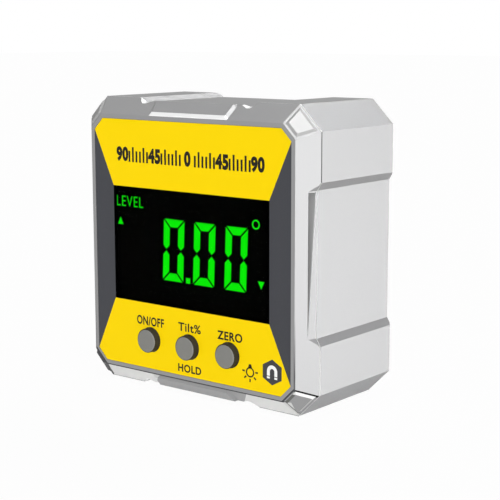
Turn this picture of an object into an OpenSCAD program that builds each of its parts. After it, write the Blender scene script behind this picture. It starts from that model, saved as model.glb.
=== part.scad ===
// Digital angle gauge: a square case with a magnetic base, a lit display and three push buttons.
// The front faces -Y, +Z is up and the origin is under the middle of the case, on the resting plane.

/* [Case] */
// Width of the case over its side blocks
body_w = 60; // [59:0.5:72]
// Height of the case over its feet and top blocks
body_h = 60; // [59:0.5:72]
// Depth of the case from the bezel to the back
body_d = 28; // [27:0.1:34]
// Length of the 45 degree cut across each corner, along one side
corner_cut = 4.9; // [4.2:0.1:7]
// Width of the 45 degree bevel around the front
front_chamfer = 3.4; // [2.8:0.1:4]
// Width of the 45 degree bevel around the back
rear_chamfer = 0.3; // [0.2:0.05:0.8]
// Wall of the case behind the recessed sides
wall = 2; // [1.6:0.1:2.6]
// Wall at the back of the case
back_wall = 2; // [1.6:0.1:2.6]
// Straight edge of the front frame behind its bevel
frame_land = 0.3; // [0.25:0.05:0.8]
// Open line between the front frame and the rear housing
seam_gap = 0.2; // [0.05:0.05:0.2]
// Length of the lip that locates the frame in the housing
lip_len = 2; // [1.2:0.1:2.2]
// Thickness of the locating lip
lip_t = 1.2; // [0.8:0.1:1.6]

/* [Sides] */
// Depth of the recess in each side, between the blocks
recess_depth = 0.9; // [0.6:0.05:1.2]
// Distance between the blocks on a side, at the outer plane
recess_span = 31.2; // [30:0.2:36]
// Run of the slope from a block down to the recess
recess_slope = 1.5; // [0.8:0.1:2]
// Extra slope of the left and right recess where it meets the front bevel, in degrees
lead_angle = 23; // [10:1:28]
// The same slope at the top and at the bottom
notch_angle = 13; // [5:1:20]
// Flat stretch of the recess between that slope and the seam
lead_land = 0.3; // [0.2:0.1:0.8]
// Width of the tapered slots between frame and housing on the left and right, at their wide end
slot_w = 1.4; // [0.8:0.05:1.5]
// Depth of those slots below the recess
slot_deep = 2.2; // [1:0.1:2.4]
// Distance of a slot from the slopes of the blocks
slot_margin = 0.3; // [0.2:0.1:2]
// Width of the frame's shoulder in the top and bottom recess
shoulder_w = 23.7; // [22.4:0.1:24.5]
// Run of the sloped ends of the shoulder
shoulder_slope = 1.3; // [0.6:0.1:1.4]
// Height of the shoulder above the recess
shoulder_h = 0.35; // [0.1:0.05:0.35]
// Width of the raised tab at the top and at the bottom of the frame, at its front
tab_w = 19.1; // [14:0.1:19.5]
// Widening of a tab at each end, from its front to its crest
tab_flare = 0.55; // [0:0.05:0.6]
// Run of the sloped ends of a tab
tab_slope = 0.65; // [0.3:0.05:0.7]
// Height of a tab's small upright front face
tab_rise = 0.63; // [0.3:0.03:0.9]
// Setback of a tab's front face from the bezel
tab_set = 0.15; // [0.1:0.05:0.4]
// Distance of a tab below the plane of the blocks
tab_low = 0.5; // [0.3:0.05:0.7]
// Margin around the raised pad on each corner bevel
pad_margin = 0.35; // [0.2:0.05:0.6]
// Run of the sloped edge of a corner pad
pad_slope = 0.55; // [0.3:0.05:0.7]
// Height of a corner pad
pad_h = 0.4; // [0.2:0.05:0.5]

/* [Face] */
// Width of the bezel around the face panel
bezel_w = 0.9; // [0.6:0.1:1.4]
// Distance of the face panel below the bezel
panel_drop = 0.1; // [0.1:0.05:0.3]
// Thickness of the face panel and of the lens in it
panel_t = 0.8; // [0.6:0.1:1.2]
// Thickness of the printed colour
print_t = 0.05; // [0.03:0.01:0.08]
// Thickness of the frame's wall behind the panel
front_wall = 1.7; // [1.2:0.1:1.9]
// Width of the display window
window_w = 40.9; // [36:0.1:42]
// Height of the display window
window_h = 23.8; // [22:0.1:24.6]

/* [Display] */
// Margin of the display glass around the window
glass_margin = 2.4; // [1.8:0.1:2.8]
// Thickness of the display glass
glass_t = 2; // [1.4:0.1:2.6]
// Thickness of the light guide behind the glass
backlight_t = 3; // [2.6:0.1:3.6]
// Thickness of the lit segments
segment_t = 0.05; // [0.03:0.01:0.1]
// Height of a digit
digit_h = 12.65; // [10:0.05:14]
// Width of a digit
digit_w = 5.5; // [4.8:0.05:6.2]
// Distance from one digit to the next
digit_pitch = 8.15; // [7.8:0.05:8.6]
// Width of a lit segment
segment_w = 1.6; // [1.2:0.05:1.9]
// Dark line between two segments
segment_gap = 0.26; // [0.1:0.02:0.4]
// Lean of the digits, in degrees
digit_lean = 2.3; // [0:0.1:8]
// Sideways place of the middle digit, from the middle of the window
digits_x = 3.5; // [2:0.1:5]
// Height of the digits' middle above the middle of the window
digits_z = -0.35; // [-1.5:0.05:1.5]
// Side of the decimal square
dot_size = 1.1; // [0.7:0.05:1.3]
// Outer diameter of the degree ring
ring_d = 1.85; // [1.4:0.05:2.6]
// Width of the line of the degree ring
ring_line = 0.24; // [0.2:0.01:0.5]
// Sideways place of the degree ring
ring_x = 16.6; // [16:0.1:18]
// Height of the degree ring
ring_z = 6.9; // [4:0.1:9]
// Width of an arrow
arrow_w = 1.5; // [1:0.1:2]
// Height of an arrow
arrow_h = 1.5; // [1:0.1:2]
// Distance of the upward arrow left of the middle
arrow_left = 19.4; // [15:0.1:19.6]
// Distance of the downward arrow right of the middle
arrow_right = 17.9; // [17:0.1:19.6]
// Distance of the upward arrow above the middle
arrow_rise = 4.5; // [3:0.1:5]
// Distance of the downward arrow below the middle
arrow_drop = 4.8; // [3:0.1:5]

/* [Buttons] */
// Diameter of a button
button_d = 5; // [4:0.1:6]
// Distance from one button to the next
button_pitch = 10.5; // [9:0.1:11]
// Distance of the buttons below the middle of the face
button_drop = 19.5; // [19:0.1:20]
// Height of a button above the bezel
button_proud = 1.5; // [0.8:0.1:2.5]
// Travel of a button
button_travel = 0.5; // [0.3:0.05:0.6]
// Bevel around a button's face
button_edge = 0.2; // [0.1:0.05:0.4]
// Width of the flange behind the wall that keeps a button in
flange_w = 0.8; // [0.5:0.1:1]
// Thickness of that flange
flange_t = 0.55; // [0.4:0.05:0.7]
// Width of a square switch body
switch_w = 6; // [5:0.1:6.6]
// Wall of a switch body behind its plunger
switch_floor = 0.6; // [0.4:0.05:0.8]
// Diameter of a switch plunger
plunger_d = 3.2; // [2.4:0.1:3.8]

/* [Board] */
// Thickness of the circuit board
board_t = 1.6; // [1:0.1:2]
// Width of the square processor chip
chip_w = 7; // [5:0.5:9]
// Thickness of the processor chip
chip_t = 1.4; // [1:0.1:1.8]
// Width of the square tilt sensor
sensor_w = 4; // [3:0.5:5]
// Thickness of the tilt sensor
sensor_t = 1.2; // [0.8:0.1:1.6]
// Length of a chip capacitor
cap_len = 2; // [1.6:0.1:3]
// Width and height of a chip capacitor
cap_w = 1.2; // [0.8:0.1:1.4]
// Distance from one capacitor to the next
cap_pitch = 3; // [2:0.1:5]
// Distance of the two chips from the middle, sideways
chip_x = 9; // [6:0.5:9]
// Distance of the chips above, and of the capacitors below, the middle
chip_z = 15.5; // [10:0.5:18]
// Diameter of a board boss on the frame
boss_d = 4.2; // [3.6:0.1:4.4]

/* [Fasteners] */
// Diameter of a case screw
screw_d = 2; // [1.6:0.1:2.4]
// Length of a case screw under its head
screw_len = 16; // [13:0.5:17]
// Diameter of a case screw's head
screw_head_d = 4.4; // [3.8:0.1:4.8]
// Height of a case screw's head
screw_head_h = 1.7; // [1.2:0.1:2]
// Distance of a case screw's head below the back
screw_sink = 1.4; // [0.8:0.1:2.4]
// Diameter of a screw post
post_d = 6; // [5.6:0.1:6.6]
// Length of the frame's screw posts behind the front wall
post_len = 10.4; // [9:0.1:12]
// Diameter of a board screw
board_screw_d = 1.6; // [1.2:0.1:1.8]
// Length of a board screw under its head
board_screw_len = 4; // [3.4:0.1:4.4]
// Diameter of a board screw's head
board_head_d = 3.4; // [2.8:0.1:4]
// Height of a board screw's head
board_head_h = 1.2; // [0.8:0.1:1.6]

/* [Base magnets] */
// Width of a magnet
magnet_w = 13; // [8:0.5:16]
// Depth of a magnet, front to back
magnet_d = 10; // [6:0.5:12]
// Thickness of a magnet
magnet_t = 3; // [2:0.1:5]
// Wall left under a magnet
magnet_skin = 0.8; // [0.6:0.1:1.2]
// Distance between the two magnets
magnet_split = 1; // [0.5:0.1:3]

/* [Battery] */
// Diameter of a battery cell
cell_d = 10.5; // [9.5:0.1:10.8]
// Length of a battery cell with its nub
cell_len = 44.5; // [40:0.1:45.5]
// Diameter of a cell's nub
nub_d = 3.8; // [3:0.1:4.5]
// Height of a cell's nub
nub_h = 1; // [0.8:0.1:1.4]
// Distance between the two cells
cell_split = 0.7; // [0.4:0.1:1.2]
// Room between the cells and the door
cell_room = 1.9; // [1.6:0.1:2.2]
// Wall at the ends of the battery tray
tray_end = 1.6; // [1.4:0.1:2.2]
// Thickness of the battery tray's floor
tray_floor = 1.4; // [1:0.1:1.6]
// Overlap of the door on the edge of the tray
door_lap = 1.1; // [0.8:0.1:1.3]
// Thickness of the door's seal
door_seal_t = 0.4; // [0.3:0.05:0.6]
// Thickness of the rim inside the door
rim_t = 0.8; // [0.6:0.1:1]
// Height of the rim inside the door
rim_h = 1.6; // [1:0.1:1.8]
// Length of the thumb recess in the door
thumb_w = 14; // [8:0.5:18]
// Height of the thumb recess
thumb_h = 4; // [3:0.1:6]
// Depth of the thumb recess
thumb_deep = 0.6; // [0.3:0.05:0.8]
// Thickness of a battery contact
contact_t = 0.4; // [0.3:0.05:0.5]
// Height of the contact plate of one cell
contact_h = 9; // [7:0.1:9.6]
// Depth of a contact plate, front to back
contact_deep = 9; // [7:0.1:9.6]
// Width of a contact's solder leg
leg_w = 2; // [1.5:0.1:3]
// Wire of a battery spring
spring_wire = 0.7; // [0.4:0.05:0.9]
// Length of a battery spring between its plate and its cell
spring_len = 2.7; // [2.4:0.1:3.4]
// Diameter of a battery spring at its plate
spring_d = 7; // [5:0.1:7.5]
// Diameter of a battery spring at its cell
spring_tip_d = 5; // [3.5:0.1:6]

/* [Seal and fits] */
// Width of the seal in the seam
seal_w = 0.8; // [0.5:0.05:1]
// Depth of the seal's groove
seal_deep = 0.6; // [0.3:0.05:0.9]
// Clearance of pieces that are set into each other
fit = 0.1; // [0.05:0.05:0.15]
// Clearance around a moving button
button_fit = 0.15; // [0.1:0.05:0.25]
// Clearance around the battery door
door_fit = 0.15; // [0.1:0.05:0.25]
// Clearance of the circuit board in the case
board_fit = 0.6; // [0.4:0.1:0.8]
// Clearance around a screw that passes through
screw_fit = 0.35; // [0.2:0.05:0.5]

/* [Hidden] */
$fn = 64;
coil_turns = 2;
coil_steps = 24;
coil_sides = 8;
over = 1;
sink = 0.05;

// Depths are measured back from the front of the bezel
mid_d = (body_d - button_proud) / 2;
pocket_d = panel_drop + panel_t;
wall_d = pocket_d + front_wall;
frame_d = front_chamfer + frame_land;
lip_d = frame_d + lip_len;
lead_d = frame_d - lead_land;
glass_d = pocket_d + segment_t;
backlight_d = glass_d + glass_t;
board_d = backlight_d + backlight_t;
board_back = board_d + board_t;
flange_d = wall_d + fit;
switch_d = flange_d + flange_t + button_travel + fit;
plunger_end = board_d - switch_floor - fit - button_travel;
inner_back = body_d - back_wall;
tray_d = inner_back - cell_room - cell_d - fit;
tray_front = tray_d - tray_floor;
cell_mid = tray_d + fit + cell_d / 2;
post_split = wall_d + post_len;
seat_d = body_d - screw_sink - screw_head_h;
screw_tip = seat_d - screw_len;
magnet_mid = (board_back + inner_back) / 2;
cut_d = (front_chamfer - recess_depth - lead_d * tan(lead_angle)) / (1 - tan(lead_angle));
door_d = inner_back + door_seal_t;

// Insets are measured in from the outer plane of the blocks
front_inset = front_chamfer;
panel_inset = front_inset + bezel_w;
inner_inset = recess_depth + wall;
lip_inset = inner_inset + fit;
cavity_inset = lip_inset + lip_t;
seal_inset = recess_depth + (wall - seal_w) / 2;
board_inset = inner_inset + board_fit;

// Places on the face, from its middle
glass_w = window_w + 2 * glass_margin;
glass_h = window_h + 2 * glass_margin;
strip_w = glass_margin - 4 * fit;
tray_w = cell_len + spring_len + 2 * (contact_t + fit);
cell_pitch = cell_d + cell_split;
tray_h = cell_pitch + cell_d + 2 * cell_split;
door_edge = door_lap + door_fit;
door_w = tray_w + 2 * door_lap;
door_h = tray_h + 2 * door_lap;
post_inset = cavity_inset + post_d / 2 - 2 * fit;
post_x = body_w / 2 - post_inset;
post_z = body_h / 2 - post_inset;
hole_d = button_d + 2 * button_fit;
flange_r = button_d / 2 + flange_w;
boss_x = button_pitch + max(switch_w / 2, flange_r) + 3 * fit + boss_d / 2;
boss_z = glass_h / 2 + 2 * fit + boss_d / 2;
cell_end = tray_w / 2 - contact_t - fit;
spring_start = -tray_w / 2 + contact_t + fit / 2 + spring_wire / 2;
spring_end = cell_end - cell_len - fit / 2 - spring_wire / 2;

// Diagonal bevel facet across a front corner
facet_front = cut_at(front_inset) * sqrt(2) / 2;
facet_back = corner_cut * sqrt(2) / 2;
facet_len = front_chamfer * sqrt(2);
facet_grow = (facet_back - facet_front) / facet_len;

silver = [0.78, 0.78, 0.79];
dark_grey = [0.29, 0.29, 0.31];
yellow = [0.99, 0.84, 0.05];
black = [0.02, 0.02, 0.02];
green = [0.05, 0.9, 0.04];
button_grey = [0.51, 0.51, 0.5];
board_green = [0.06, 0.3, 0.16];
steel = [0.66, 0.66, 0.66];
rubber_grey = [0.16, 0.16, 0.17];

// Corner cut of the case outline, moved in by an inset
function cut_at(inset) = corner_cut - inset * (2 - sqrt(2));

// Y of a depth behind the bezel
function at(d) = d - mid_d;

// Half length of a corner facet at a distance along its slope, less a margin
function facet_half(along, margin) =
    facet_front + facet_grow * along - margin * norm([1, facet_grow]);

// Eight-sided outline of the case seen from the front
module outline(inset) {
    x = body_w / 2 - inset;
    z = body_h / 2 - inset;
    c = cut_at(inset);
    polygon([[x, c - z], [x, z - c], [x - c, z], [c - x, z],
             [-x, z - c], [-x, c - z], [c - x, -z], [x - c, -z]]);
}

// Flat shape drawn as seen from the front, from one depth to another
module layer(from, to) {
    translate([0, at(to), body_h / 2])
        rotate([90, 0, 0])
            linear_extrude(to - from)
                children();
}

// Round bar or bore along the depth
module rod(from, to, d) {
    translate([0, at(to), 0])
        rotate([90, 0, 0])
            cylinder(h = to - from, d = d);
}

// One copy at each button
module at_button(column) {
    translate([column * button_pitch, 0, body_h / 2 - button_drop])
        children();
}

// One copy at each case screw
module at_posts() {
    for (x = [-post_x, post_x], z = [-post_z, post_z])
        translate([x, 0, body_h / 2 + z])
            children();
}

// One copy at each board screw
module at_bosses() {
    for (side = [-1, 1]) {
        translate([side * boss_x, 0, body_h / 2 + boss_z])
            children();
        translate([side * boss_x, 0, body_h / 2 - button_drop])
            children();
    }
}

// One copy at the top and one at the bottom, with +Y outward in the plane
module on_top_and_bottom() {
    for (turn = [0, 180])
        rotate(turn)
            translate([0, body_h / 2])
                children();
}

// One copy on the left and one on the right, with +Y outward in the plane
module on_left_and_right() {
    for (turn = [90, 270])
        rotate(turn)
            translate([0, body_w / 2])
                children();
}

// Section of a side recess, with its floor at the bottom, made narrower by a trim at each end
module recess_section(floor, trim) {
    flat = recess_span / 2 - recess_slope - trim;
    flare = recess_slope / recess_depth * (recess_depth + over);
    polygon([[-flat, floor], [flat, floor], [flat + flare, floor + recess_depth + over],
             [-flat - flare, floor + recess_depth + over]]);
}

// The same section with the frame's shoulder standing in its middle, which leaves a notch at each end
module notch_section(floor, trim) {
    crown = shoulder_w / 2 + trim;
    foot = crown + shoulder_slope / shoulder_h * (shoulder_h + over);
    difference() {
        recess_section(floor, trim);
        polygon([[-crown, floor + shoulder_h], [crown, floor + shoulder_h], [foot, floor - over],
                 [-foot, floor - over]]);
    }
}

// Sloped start of a recess, where it runs out through the front bevel
module recess_lead(half, angle) {
    translate([0, at(lead_d), half - recess_depth])
        rotate([angle, 0, 0])
            rotate([90, 0, 0])
                translate([0, 0, -over])
                    linear_extrude(lead_d + 2 * over)
                        children();
}

// Flat plate on a corner bevel, less a margin, with its top at a height
module facet_plate(margin, height) {
    far = facet_len - margin;
    translate([0, 0, -over / 2])
        linear_extrude(height + over / 2)
            polygon([[-facet_half(margin, margin), margin], [facet_half(margin, margin), margin],
                     [facet_half(far, margin), far], [-facet_half(far, margin), far]]);
}

// Raised pad on each of the four corner bevels
module corner_pads() {
    x = body_w / 2 - front_inset - cut_at(front_inset) / 2;
    z = body_h / 2 - front_inset - cut_at(front_inset) / 2;
    translate([0, 0, body_h / 2])
        for (flip_x = [0, 1], flip_z = [0, 1])
            mirror([flip_x, 0, 0])
                mirror([0, 0, flip_z])
                    translate([x, at(0), z])
                        rotate([0, 45, 0])
                            rotate([45, 0, 0])
                                hull() {
                                    facet_plate(pad_margin, -sink);
                                    facet_plate(pad_margin + pad_slope, pad_h);
                                }
}

// Side view of a tab, drawn as depth and height above the middle, and its width
module tab_slice(points, width) {
    translate([-width / 2, at(0), body_h / 2])
        rotate([90, 0, 90])
            linear_extrude(width)
                polygon(points);
}

// Raised tab in the middle of the frame's top bevel, with sloped ends
module tab() {
    low = body_h / 2 - front_chamfer;
    top = body_h / 2 - tab_low;
    crest = top - low - tab_rise;
    back = frame_d - seam_gap - fit;
    wide = tab_w + 2 * tab_flare;
    foot = 2 * tab_slope;
    base = low + crest - sink;
    hull() {
        tab_slice([[tab_set, low], [tab_set, low + tab_set + tab_rise], [tab_set + sink, low]], tab_w);
        tab_slice([[crest, low], [crest, top], [back, top], [back, low]], wide);
        tab_slice([[tab_set, low], [tab_set, low + tab_set - sink], [tab_set + sink, low]], tab_w + foot);
        tab_slice([[crest, low], [crest, base], [back, base], [back, low]], wide + foot);
    }
}

// Tapered slot on the right, behind the cut edge of the bevel
module side_slot() {
    reach = recess_span / 2 - recess_slope - slot_margin;
    start = cut_d - 2 * sink;
    translate([body_w / 2 - recess_depth - slot_deep, at(0), body_h / 2])
        rotate([90, 0, 90])
            linear_extrude(slot_deep + over)
                polygon([[start, -reach], [start + slot_w, reach], [start, reach]]);
}

// Bevelled front shell before its inside is cut
module frame_shell() {
    difference() {
        hull() {
            layer(front_chamfer, frame_d - seam_gap)
                outline(0);
            layer(0, frame_d - seam_gap)
                outline(front_inset);
        }
        layer(-over, frame_d + over)
            on_top_and_bottom()
                notch_section(-recess_depth, 0);
        layer(-over, frame_d + over)
            on_left_and_right()
                recess_section(-recess_depth, 0);
        for (turn = [0, 180])
            translate([0, 0, body_h / 2])
                rotate([0, turn, 0])
                    recess_lead(body_h / 2, notch_angle)
                        notch_section(0, sink);
        for (turn = [90, 270])
            translate([0, 0, body_h / 2])
                rotate([0, turn, 0])
                    recess_lead(body_w / 2, lead_angle)
                        recess_section(0, sink);
        side_slot();
        mirror([1, 0, 0])
            side_slot();
    }
    tab();
    translate([0, 0, body_h])
        mirror([0, 0, 1])
            tab();
    corner_pads();
}

module front_frame() {
    color(silver)
        difference() {
            union() {
                difference() {
                    frame_shell();
                    layer(wall_d, frame_d)
                        outline(cavity_inset);
                }
                layer(frame_d - seam_gap - fit, lip_d)
                    difference() {
                        outline(lip_inset);
                        outline(cavity_inset);
                    }
                at_posts()
                    rod(wall_d - fit, post_split, post_d);
                at_bosses()
                    rod(wall_d - fit, board_d, boss_d);
            }
            layer(-over, pocket_d)
                outline(panel_inset);
            layer(-over, wall_d + over)
                square([glass_w + 2 * fit, glass_h + 2 * fit], center = true);
            for (column = [-1, 0, 1])
                at_button(column)
                    rod(-over, wall_d + over, hole_d);
            at_posts()
                rod(screw_tip - 2 * fit, post_split + over, screw_d + fit);
            at_bosses()
                rod(board_back - board_screw_len - 2 * fit, board_d + over, board_screw_d + fit);
        }
}

// Contact leg that runs forward from the tray to the board
module leg_section(grow) {
    square([contact_t + 2 * grow, leg_w + 2 * grow], center = true);
}

// One copy at the two solder legs
module at_legs() {
    for (side = [-1, 1])
        translate([tray_w / 2 - contact_t / 2, side * cell_pitch / 2])
            children();
}

// Magnet in the base wall, on one side of the middle, grown all round in plan
module magnet_block(side, grow) {
    translate([side * (magnet_w + magnet_split) / 2, at(magnet_mid), recess_depth + magnet_skin])
        translate([-magnet_w / 2 - grow, -magnet_d / 2 - grow, 0])
            cube([magnet_w + 2 * grow, magnet_d + 2 * grow, magnet_t]);
}

module rear_housing() {
    tray_side = 2 * (tray_end + fit);
    tray_edge = 2 * (door_edge + fit);
    color(silver)
        difference() {
            union() {
                difference() {
                    hull() {
                        layer(frame_d, body_d - rear_chamfer)
                            outline(0);
                        layer(frame_d, body_d)
                            outline(rear_chamfer);
                    }
                    layer(frame_d - over, body_d + over) {
                        on_top_and_bottom()
                            recess_section(-recess_depth, 0);
                        on_left_and_right()
                            recess_section(-recess_depth, 0);
                    }
                    layer(frame_d - over, inner_back)
                        outline(inner_inset);
                }
                layer(tray_front, inner_back + fit)
                    square([tray_w + tray_side, tray_h + tray_edge], center = true);
                at_posts()
                    rod(post_split + fit / 2, inner_back + fit, post_d);
            }
            layer(tray_d, body_d + over)
                square([tray_w, tray_h], center = true);
            layer(inner_back, body_d + over)
                square([tray_w + 2 * door_edge, tray_h + 2 * door_edge], center = true);
            layer(tray_front - over, tray_d + over)
                at_legs()
                    leg_section(fit);
            layer(frame_d - over, frame_d + seal_deep)
                difference() {
                    outline(seal_inset);
                    outline(seal_inset + seal_w);
                }
            at_posts()
                rod(post_split - over, body_d, screw_d + 2 * screw_fit);
            at_posts()
                rod(seat_d, body_d + over, screw_head_d + 2 * screw_fit);
            for (side = [-1, 1])
                magnet_block(side, fit / 2);
        }
}

module face_panel() {
    color(dark_grey)
        difference() {
            layer(panel_drop, pocket_d)
                difference() {
                    outline(panel_inset + fit / 2);
                    square([window_w, window_h], center = true);
                }
            for (column = [-1, 0, 1])
                at_button(column)
                    rod(-over, wall_d, hole_d);
        }
}

// Upper colour field, from the window's corners out to the panel's corners
module print_field() {
    inset = panel_inset + fit / 2;
    x = body_w / 2 - inset;
    z = body_h / 2 - inset;
    c = cut_at(inset);
    polygon([[-window_w / 2, window_h / 2], [window_w / 2, window_h / 2], [x, z - c], [x - c, z], [c - x, z],
             [-x, z - c]]);
}

module face_print() {
    color(yellow)
        difference() {
            layer(panel_drop - print_t, panel_drop) {
                print_field();
                mirror([0, 1])
                    print_field();
            }
            for (column = [-1, 0, 1])
                at_button(column)
                    rod(-over, wall_d, hole_d);
        }
}

module display_lens() {
    color([0.1, 0.1, 0.1, 0.4])
        layer(panel_drop, pocket_d)
            square([window_w - fit, window_h - fit], center = true);
}

module lcd_glass() {
    color(black)
        layer(glass_d, backlight_d)
            square([glass_w, glass_h], center = true);
}

// Points moved sideways as the digits lean
function lean(points) = [for (p = points) [p[0] + p[1] * tan(digit_lean), p[1]]];

// Level segment at the top or the bottom of a digit
function level_bar(up) =
    let (x = digit_w / 2 - segment_gap, z = digit_h / 2, s = segment_w)
    [[-x, up * z], [x, up * z], [x - s, up * (z - s)], [s - x, up * (z - s)]];

// Upright segment on one side of a digit, pointed towards the middle
function upright_bar(side, up) =
    let (x = digit_w / 2, z = digit_h / 2 - segment_gap, s = segment_w, m = segment_gap / sqrt(2))
    [[side * x, up * z], [side * (x - s), up * (z - s)], [side * (x - s), up * (m + s / 2)],
     [side * (x - s / 2), up * m], [side * x, up * (m + s / 2)]];

// The figure zero in seven-segment form
module zero_digit() {
    for (up = [-1, 1]) {
        polygon(lean(level_bar(up)));
        for (side = [-1, 1])
            polygon(lean(upright_bar(side, up)));
    }
}

// Arrow pointing up
module arrow() {
    polygon([[-arrow_w / 2, -arrow_h / 2], [arrow_w / 2, -arrow_h / 2], [0, arrow_h / 2]]);
}

// Lit shapes of the display; the digits stand right of the middle, and the arrows near its sides
module lcd_segments() {
    dot_x = digits_x - digit_pitch / 2 - digit_h / 2 * tan(digit_lean);
    dot_z = digits_z - digit_h / 2 + dot_size / 2;
    color(green)
        layer(pocket_d, glass_d) {
            for (place = [-1, 0, 1])
                translate([digits_x + place * digit_pitch, digits_z])
                    zero_digit();
            translate([dot_x, dot_z])
                square(dot_size, center = true);
            translate([ring_x, ring_z])
                difference() {
                    circle(d = ring_d);
                    circle(d = ring_d - 2 * ring_line);
                }
            translate([-arrow_left, arrow_rise])
                arrow();
            translate([arrow_right, -arrow_drop])
                mirror([0, 1])
                    arrow();
        }
}

module lcd_backlight() {
    color([0.92, 0.93, 0.9])
        layer(backlight_d, board_d)
            square([window_w, window_h], center = true);
}

module lcd_connector() {
    color(rubber_grey)
        layer(backlight_d, board_d)
            translate([0, (window_h + glass_margin) / 2])
                square([window_w, strip_w], center = true);
}

module circuit_board() {
    notch = post_inset + post_d / 2 + board_fit;
    color(board_green)
        difference() {
            layer(board_d, board_back)
                difference() {
                    square([body_w - 2 * board_inset, body_h - 2 * board_inset], center = true);
                    for (side = [-1, 1], up = [-1, 1])
                        translate([side * body_w / 2, up * body_h / 2])
                            square(2 * notch, center = true);
                }
            at_bosses()
                rod(board_d - over, board_back + over, board_screw_d + 2 * screw_fit);
        }
}

module processor_chip() {
    color(black)
        layer(board_back, board_back + chip_t)
            translate([-chip_x, chip_z])
                square(chip_w, center = true);
}

module tilt_sensor() {
    color([0.2, 0.2, 0.22])
        layer(board_back, board_back + sensor_t)
            translate([chip_x, chip_z])
                square(sensor_w, center = true);
}

module chip_capacitors() {
    color([0.72, 0.6, 0.42])
        layer(board_back, board_back + cap_w)
            for (column = [-1, 0, 1])
                translate([column * cap_pitch, -chip_z])
                    square([cap_w, cap_len], center = true);
}

module switch_body(column) {
    color(black)
        at_button(column)
            difference() {
                translate([-switch_w / 2, at(switch_d), -switch_w / 2])
                    cube([switch_w, board_d - switch_d, switch_w]);
                rod(switch_d - over, board_d - switch_floor, plunger_d + 2 * button_fit);
            }
}

module plunger(column) {
    color([0.85, 0.85, 0.82])
        at_button(column)
            rod(flange_d + flange_t, plunger_end, plunger_d);
}

// Push button, turned about its axis, with a flange that stays behind the wall
module button(column) {
    r = button_d / 2;
    color(button_grey)
        at_button(column)
            translate([0, at(0), 0])
                rotate([-90, 0, 0])
                    rotate_extrude()
                        polygon([[0, -button_proud], [r - button_edge, -button_proud],
                                 [r, button_edge - button_proud], [r, flange_d], [flange_r, flange_d],
                                 [flange_r, flange_d + flange_t], [0, flange_d + flange_t]]);
}

module case_seal() {
    color(rubber_grey)
        layer(frame_d - seam_gap, frame_d + seal_deep)
            difference() {
                outline(seal_inset);
                outline(seal_inset + seal_w);
            }
}

// Screw with a cross in its head; its shank runs forward from the seat
module cross_screw(seat, length, d, head_d, head_h) {
    slot = head_d / 6;
    difference() {
        union() {
            rod(seat - length, seat, d);
            rod(seat, seat + head_h, head_d);
        }
        for (turn = [0, 90])
            rotate([0, turn, 0])
                translate([-head_d / 3, at(seat + head_h / 2), -slot / 2])
                    cube([head_d * 2 / 3, head_h, slot]);
    }
}

module case_screws() {
    color(steel)
        at_posts()
            cross_screw(seat_d, screw_len, screw_d, screw_head_d, screw_head_h);
}

module board_screws() {
    color(steel)
        at_bosses()
            cross_screw(board_back, board_screw_len, board_screw_d, board_head_d, board_head_h);
}

module base_magnet(side) {
    color([0.45, 0.45, 0.47])
        magnet_block(side, 0);
}

module battery_door() {
    rim_w = tray_w - 2 * door_fit;
    rim_tall = tray_h - 2 * door_fit;
    color(silver)
        difference() {
            union() {
                layer(door_d, body_d)
                    square([door_w, door_h], center = true);
                layer(inner_back - rim_h, door_d + fit)
                    difference() {
                        square([rim_w, rim_tall], center = true);
                        square([rim_w - 2 * rim_t, rim_tall - 2 * rim_t], center = true);
                    }
            }
            layer(body_d - thumb_deep, body_d + over)
                translate([0, thumb_h - door_h / 2])
                    square([thumb_w, thumb_h], center = true);
        }
}

module door_seal() {
    color(rubber_grey)
        layer(inner_back, door_d)
            difference() {
                square([door_w, door_h], center = true);
                square([tray_w, tray_h], center = true);
            }
}

// Battery cell along X, with its nub at the +X end
module cell() {
    translate([cell_end - cell_len, at(cell_mid), cell_pitch / 2])
        rotate([0, 90, 0]) {
            cylinder(h = cell_len - nub_h, d = cell_d);
            cylinder(h = cell_len, d = nub_d);
        }
}

// Second place of what repeats in the battery tray: turned end for end, in the lower half
module in_lower_half() {
    translate([0, 0, body_h / 2])
        rotate([0, 180, 0])
            children();
}

module in_upper_half() {
    translate([0, 0, body_h / 2])
        children();
}

module battery_upper() {
    color([0.12, 0.22, 0.42])
        in_upper_half()
            cell();
}

module battery_lower() {
    color([0.12, 0.22, 0.42])
        in_lower_half()
            cell();
}

// Contact plate at one end of the tray, centred on a height
module contact_plate(side, z, height) {
    layer(tray_d + fit, tray_d + fit + contact_deep)
        translate([side * (tray_w - contact_t) / 2, z])
            square([contact_t, height], center = true);
}

// Leg from a contact plate to the board
module contact_leg(z) {
    layer(board_back, tray_d + fit)
        translate([(tray_w - contact_t) / 2, z])
            leg_section(0);
}

module contact_bridge() {
    color(steel)
        contact_plate(-1, 0, cell_pitch + contact_h);
}

module contact_positive() {
    color(steel) {
        contact_plate(1, cell_pitch / 2, contact_h);
        contact_leg(cell_pitch / 2);
    }
}

module contact_negative() {
    color(steel) {
        contact_plate(1, -cell_pitch / 2, contact_h);
        contact_leg(-cell_pitch / 2);
    }
}

// Point on the wire of a battery spring, for a share of its length and a turn around the wire
function wire_point(share, around) =
    let (angle = 360 * coil_turns * share)
    let (x = spring_start + (spring_end - spring_start) * share + spring_wire / 2 * sin(around))
    let (big = (spring_d - spring_wire) / 2, small = (spring_tip_d - spring_wire) / 2)
    let (r = big + (small - big) * share + spring_wire / 2 * cos(around))
    [x, r * cos(angle), r * sin(angle)];

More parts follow.
